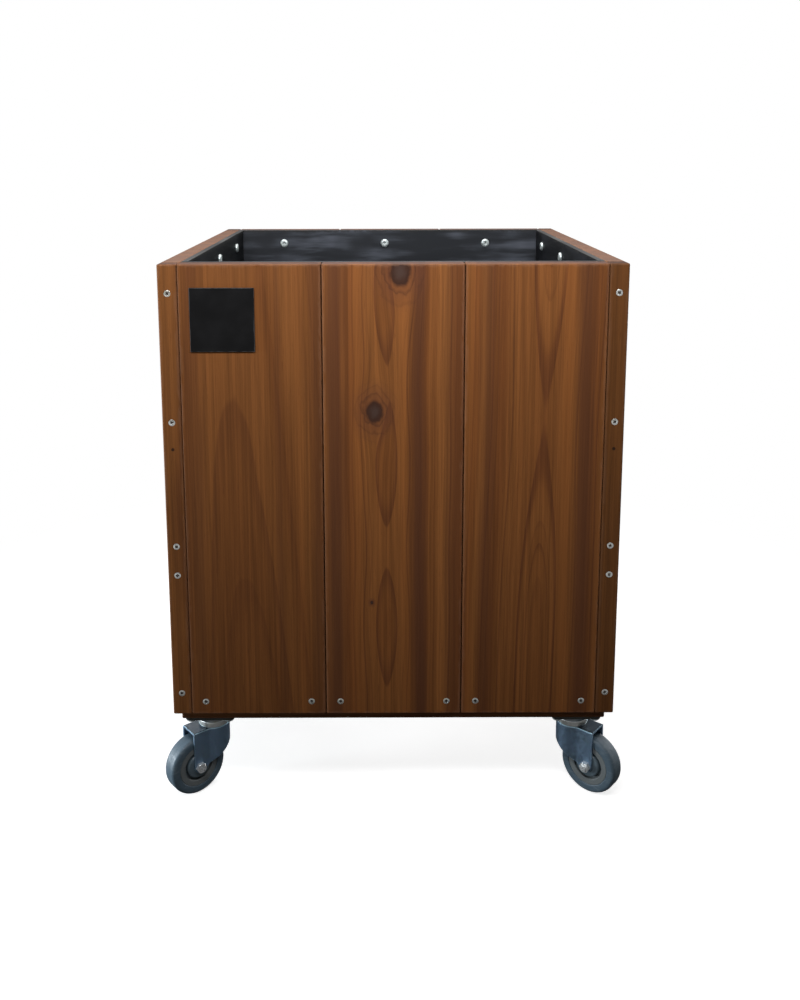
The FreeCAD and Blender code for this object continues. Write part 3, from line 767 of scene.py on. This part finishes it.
# Painted highlight: a thin bright line along the edges.
colour = tint(tree, calc(tree, "MULTIPLY", rub.outputs["Edge"], 0.5), colour, (0.10, 0.10, 0.10, 1.0))
bump = put(tree, "ShaderNodeBump", {"Strength": 0.12, "Distance": 0.0002, "Height": brushed})
finish = {
    "Base Color": colour,
    "Roughness": ease(tree, smudge, 0.3, 0.7, 0.46, 0.58),
    "Normal": bump.outputs[0],
    "Specular IOR Level": 0.08,
}
tree.links.new(put(tree, "ShaderNodeBsdfPrincipled", finish).outputs[0], surface)
dress("name_plate", plate_material)

# Caster plates
# A square steel plate with the upper ball race pressed into it, held by four screws to the runner.
# The kingpin rivet and the balls between the races are the same zinc plated steel.
# Above its bottom face the plate is coloured far darker than the race pressed into it.
race_metal, plate_metal = (0.55, 0.56, 0.55, 1.0), (0.045, 0.047, 0.046, 1.0)
plate_bottom, deck_top = 0.0865, 0.072
plate_start = plate_bottom - seam
race_zinc = zinc("race zinc", race_metal, 0.85, 0.0004, upper_dull, above=plate_start, upper=plate_metal)
sites = ("front_left", "front_right", "back_left", "back_right")
for site in sites:
    dress(f"{site}_caster_plate", race_zinc)
dress("caster_kingpins", race_zinc)
dress("caster_balls", bright_zinc)

# Caster forks
# One pressing of steel sheet: a flat deck with the lower race, a round skirt and two legs to the axle.
# It is zinc plated with a blue cast, and its cut edges are rubbed bright; a painted highlight runs along its
# bends and painted shade darkens its deck.
fork_metal = (0.18, 0.265, 0.37, 1.0)
fork_zinc = zinc("fork zinc", fork_metal, 0.2, 0.0006, 0.18, above=deck_top, upper=race_metal, pressed=True)
for site in sites:
    dress(f"{site}_caster_fork", fork_zinc)

# Wheel centres
# Moulded grey polypropylene: a rim face, a deep groove and a rounded hub that turns on the axle.
# The tyre is moulded round it, so the two meet without a gap.
axle_height = next(j["pos_m"][2] for j in frame["joints"] if j["name"] == "front_left_wheel_spin")
core_radius, core_half = 0.0225, 0.009
groove_radius, groove_floor = 0.0163, 0.004
hub_radius, hub_half, hub_round = 0.0135, 0.010, 0.0022
bore_radius = 0.0031


def arc(middle, radius, start, stop, count):
    """Points of an arc in an outline, from one angle in degrees to another."""
    turns = [math.radians(start + (stop - start) * i / (count - 1)) for i in range(count)]
    return [(middle[0] + radius * math.cos(t), middle[1] + radius * math.sin(t)) for t in turns]


def mirrored(half):
    """Closed outline from its upper half, with the lower half reflected."""
    outline = half + [(radius, -height) for radius, height in reversed(half)]
    return outline + outline[:1]


def wheel_piece(site, name, outline, replaced, material):
    """Turned piece laid on one wheel's axle."""
    spin = next(j for j in frame["joints"] if j["name"] == f"{site}_wheel_spin")
    mesh = turned_mesh(name, outline, 96)
    bm = bmesh.new()
    bm.from_mesh(mesh)
    bmesh.ops.remove_doubles(bm, verts=bm.verts, dist=1e-6)
    bmesh.ops.recalc_face_normals(bm, faces=bm.faces)
    bm.to_mesh(mesh)
    bm.free()
    # The hub is marked for painted shade.
    mark_inside(mesh, "hub", hub_radius + 0.001, -hub_half - 0.001, hub_half + 0.001)
    turn = Vector((0.0, 0.0, 1.0)).rotation_difference(Vector(spin["axis"])).to_matrix().to_4x4()
    mesh.transform(Matrix.Translation(spin["pos_m"]) @ turn)
    sharpen(mesh, math.radians(40))
    mesh.materials.append(material)
    piece = bpy.data.objects.new(f"{site}_{name}", mesh)
    bpy.context.scene.collection.objects.link(piece)
    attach(piece, f"{site}_wheel")
    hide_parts(replaced)


# Moulded plastic and rubber share fine grain, dust and scuffs.
moulding, given, made = shader_group(
    "moulded skin",
    {"Place": (0.0, 0.0, 0.0), "Skin": (0.1, 0.1, 0.1, 1.0), "Dust": (0.2, 0.2, 0.2, 1.0), "Wear": 0.3},
    {"Color": "Color", "Roughness": "Float", "Height": "Float"},
)
speck = cloud(moulding, given["Place"], (1400.0, 1400.0, 1400.0), 2.0)
scuff = cloud(moulding, given["Place"], (120.0, 120.0, 420.0), 4.0)
dusty = calc(moulding, "MULTIPLY", ease(moulding, scuff, 0.48, 0.75), given["Wear"])
skin = tint(moulding, 1.0, given["Skin"], ease(moulding, speck, 0.2, 0.8, 0.88, 1.12), "MULTIPLY")
moulding.links.new(tint(moulding, dusty, skin, given["Dust"]), made["Color"])
moulding.links.new(ease(moulding, scuff, 0.3, 0.8, 0.42, 0.66), made["Roughness"])
moulding.links.new(calc(moulding, "MULTIPLY_ADD", scuff, 0.5, speck), made["Height"])


def moulded(name, skin, dust, wear):
    """Moulded plastic or rubber, with painted shade on a wheel's hub."""
    material, tree, surface = new_material(name)
    place = put(tree, "ShaderNodeTexCoord").outputs["Object"]
    values = {"Place": place, "Skin": skin, "Dust": dust, "Wear": wear}
    face = put(tree, "ShaderNodeGroup", values, node_tree=moulding).outputs
    hub = put(tree, "ShaderNodeAttribute", attribute_name="hub").outputs["Fac"]
    # Painted shade: the hub is coloured darker and bluer than the rim face.
    colour = tint(tree, hub, face["Color"], (0.66, 0.82, 0.96, 1.0), "MULTIPLY")
    bump = put(tree, "ShaderNodeBump", {"Strength": 0.15, "Distance": 0.0002, "Height": face["Height"]})
    finish = {
        "Base Color": colour,
        "Roughness": calc(tree, "MULTIPLY_ADD", hub, -0.12, face["Roughness"]),
        "Normal": bump.outputs[0],
    }
    tree.links.new(put(tree, "ShaderNodeBsdfPrincipled", finish).outputs[0], surface)
    return material


hub_top = (hub_radius - hub_round, hub_half - hub_round)
core_outline = mirrored(
    [(bore_radius, hub_half)]
    + arc(hub_top, hub_round, 90, 0, 6)
    + [(hub_radius, groove_floor), (groove_radius, groove_floor), (groove_radius, core_half - 0.0006)]
    + [(groove_radius + 0.0006, core_half), (core_radius - 0.0004, core_half)]
    + [(core_radius, core_half - 0.0004)]
)
core_grey = moulded("wheel centre grey", (0.166, 0.186, 0.190, 1.0), (0.22, 0.23, 0.23, 1.0), 0.25)
for site in sites:
    wheel_piece(site, "wheel_centre", core_outline, f"{site}_wheel_core", core_grey)

# Tyres
# Soft grey thermoplastic rubber with rounded shoulders and a fine moulding seam round the tread.
# It is moulded on the wheel centre, and its tread is scuffed and dusty from rolling.
tyre_radius, tyre_half, shoulder = axle_height, 0.0095, 0.004
seam_height, seam_half = 0.00012, 0.0004
shoulder_middle = (tyre_radius - shoulder, tyre_half - shoulder)
tyre_outline = mirrored(
    [(core_radius + 0.0001, tyre_half - 0.0006), (core_radius + 0.0006, tyre_half - 0.0001)]
    + [(core_radius + 0.0012, tyre_half)]
    + arc(shoulder_middle, shoulder, 90, 0, 9)
    + [(tyre_radius - seam_height, seam_half + 0.0003), (tyre_radius - seam_height, seam_half)]
    + [(tyre_radius, seam_half / 2)]
)
tyre_grey = moulded("tyre grey", (0.080, 0.124, 0.162, 1.0), (0.22, 0.26, 0.28, 1.0), 0.35)
for site in sites:
    wheel_piece(site, "tyre_ring", tyre_outline, f"{site}_tyre", tyre_grey)

# Axle bolts and nuts
# A hexagon bolt runs through both legs and the hub, with a plain nut on its far end.
# Both are bright zinc plated steel, paler than the fork.
axle_zinc = zinc("axle zinc", (0.84, 0.87, 0.88, 1.0), 0.1, 0.0005, -0.06, 0.55)
for site in sites:
    dress(f"{site}_axle_bolt", axle_zinc)
    dress(f"{site}_axle_nut", axle_zinc)

# Studio
# A pale floor that reads white in the picture, keeps the shadow and is clear from below, a large softbox
# over the front, softer ones round the sides, and the camera at the photograph's place.
scene = bpy.context.scene
scene.view_settings.view_transform = "Standard"

floor_material, tree, surface = new_material("pale floor")
path = put(tree, "ShaderNodeLightPath").outputs
seen = calc(tree, "MAXIMUM", path["Is Camera Ray"], path["Is Glossy Ray"])
seen = calc(tree, "MAXIMUM", seen, path["Is Transmission Ray"])
floor_colour = tint(tree, path["Is Camera Ray"], (0.16, 0.16, 0.16, 1.0), (0.80, 0.80, 0.80, 1.0))
place = put(tree, "ShaderNodeTexCoord").outputs["Object"]
away = put(tree, "ShaderNodeVectorMath", {0: place}, operation="LENGTH").outputs["Value"]
far = ease(tree, away, 0.38, 0.85)
matt = put(tree, "ShaderNodeBsdfDiffuse", {"Color": floor_colour}).outputs[0]
raised = calc(tree, "MULTIPLY", path["Is Camera Ray"], 0.72)
lift = put(tree, "ShaderNodeEmission", {"Strength": raised}).outputs[0]
white = put(tree, "ShaderNodeEmission", {"Strength": seen}).outputs[0]
lit = put(tree, "ShaderNodeAddShader", {0: matt, 1: lift}).outputs[0]
shown = calc(tree, "MULTIPLY", far, seen)
above = put(tree, "ShaderNodeMixShader", {0: shown, 1: lit, 2: white}).outputs[0]
clear = put(tree, "ShaderNodeBsdfTransparent").outputs[0]
below = put(tree, "ShaderNodeNewGeometry").outputs["Backfacing"]
tree.links.new(put(tree, "ShaderNodeMixShader", {0: below, 1: above, 2: clear}).outputs[0], surface)
floor_half = 6.0
floor_mesh = bpy.data.meshes.new("floor")
floor_corners = [(-floor_half, -floor_half, 0), (floor_half, -floor_half, 0), (floor_half, floor_half, 0)]
floor_mesh.from_pydata(floor_corners + [(-floor_half, floor_half, 0)], [], [(0, 1, 2, 3)])
floor_mesh.materials.append(floor_material)
floor = bpy.data.objects.new("floor", floor_mesh)
scene.collection.objects.link(floor)

world = bpy.data.worlds.new("studio")
world.use_nodes = True
tree = world.node_tree
tree.nodes.clear()
path = put(tree, "ShaderNodeLightPath").outputs
direct = calc(tree, "MAXIMUM", path["Is Camera Ray"], path["Is Glossy Ray"])
direct = calc(tree, "MAXIMUM", direct, path["Is Transmission Ray"])
dim = put(tree, "ShaderNodeBackground", {"Color": (1.0, 0.95, 0.88, 1.0), "Strength": 0.03}).outputs[0]
bearing = put(tree, "ShaderNodeTexCoord").outputs["Generated"]
parts = put(tree, "ShaderNodeSeparateXYZ", {0: bearing}).outputs
rear, top = ease(tree, parts["Y"], -0.35, 0.15, 0.10, 1.0), ease(tree, parts["Z"], 0.35, 0.8, 0.10, 1.0)
room = calc(tree, "MAXIMUM", rear, top)
strength = calc(tree, "MAXIMUM", path["Is Camera Ray"], room)
white = put(tree, "ShaderNodeBackground", {"Color": (1.0, 1.0, 1.0, 1.0), "Strength": strength}).outputs[0]
backdrop = put(tree, "ShaderNodeMixShader", {0: direct, 1: dim, 2: white}).outputs[0]
tree.links.new(backdrop, put(tree, "ShaderNodeOutputWorld").inputs["Surface"])
scene.world = world


def softbox(name, place, target, width, height, power, colour, spread):
    """Rectangular soft lamp aimed at a point."""
    lamp = bpy.data.lights.new(name, "AREA")
    lamp.shape = "RECTANGLE"
    lamp.size, lamp.size_y = width, height
    lamp.energy, lamp.color, lamp.spread = power, colour, spread
    holder = bpy.data.objects.new(name, lamp)
    holder.location = place
    holder.rotation_euler = (Vector(target) - Vector(place)).to_track_quat("-Z", "Y").to_euler()
    scene.collection.objects.link(holder)


softbox("top softbox", (-0.08, -0.73, 0.98), (0.0, -0.20, 0.93), 0.8, 0.25, 7.8, (1.0, 0.99, 1.0), 2.8)
softbox("overhead softbox", (0.0, 0.08, 1.30), (0.0, 0.08, 0.0), 0.5, 0.4, 2.2, (1.0, 0.98, 0.96), 2.0)
softbox("left softbox", (-1.7, -0.26, 0.30), (0.0, -0.1, 0.2), 0.7, 0.6, 23.0, (0.88, 0.95, 1.0), 2.8)
softbox("right softbox", (1.5, 1.2, 0.30), (0.0, 0.0, 0.3), 0.8, 0.5, 18.0, (1.0, 0.98, 0.96), 2.8)
softbox("back softbox", (-0.6, 1.8, 0.30), (0.0, 0.1, 0.3), 0.8, 0.5, 18.0, (1.0, 0.98, 0.96), 2.8)

# The camera stands in front, a little above the rim, and looks slightly down.
camera_place = (-0.011, -1.1892, 0.68285)
camera_yaw, camera_pitch, camera_roll = math.radians(0.069), math.radians(9.44), math.radians(-0.122)
focal_length, sensor = 36.06, 36.0
camera = bpy.data.cameras.new("camera")
camera.sensor_width, camera.lens = sensor, focal_length
camera.shift_x, camera.shift_y = 0.0168, -0.18
view = bpy.data.objects.new("camera", camera)
view.location = camera_place
level = Matrix.Rotation(-camera_yaw, 4, "Z") @ Matrix.Rotation(math.pi / 2 - camera_pitch, 4, "X")
view.rotation_euler = (level @ Matrix.Rotation(camera_roll, 4, "Z")).to_euler()
scene.collection.objects.link(view)
scene.camera = view
